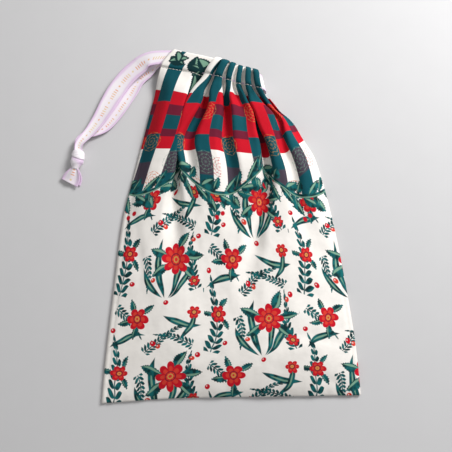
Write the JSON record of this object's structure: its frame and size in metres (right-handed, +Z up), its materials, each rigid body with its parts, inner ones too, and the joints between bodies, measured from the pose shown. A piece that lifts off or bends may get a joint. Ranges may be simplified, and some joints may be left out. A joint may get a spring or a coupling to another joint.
{
  "type": "kinchaku drawstring pouch",
  "caption": "Flat printed cotton drawstring pouch lying on its back, mouth gathered on a flat ribbon whose two ends are knotted together at the left",
  "frame": {"origin": "centre of the pouch's footprint, on the table it lies on, the free ribbon left out", "axes": "+X to the right of the front, +Y from the bottom seam towards the gathered mouth, +Z up out of the front"},
  "size_m": [0.2387, 0.293, 0.0217],
  "materials": {
    "printed_cotton": "plain-weave cotton, matt, cream ground printed in dark teal green, sage and red",
    "ribbon": "satin ribbon, soft sheen, white to pale pink-lilac"
  },
  "bodies": {
    "root": {"front_panel": "printed_cotton", "back_panel": "printed_cotton", "ribbon_in_casing": "ribbon", "ribbon_strand_front": "ribbon", "ribbon_strand_back": "ribbon", "ribbon_knot": "ribbon", "ribbon_tail_front": "ribbon", "ribbon_tail_back": "ribbon"}
  },
  "joints": []
}
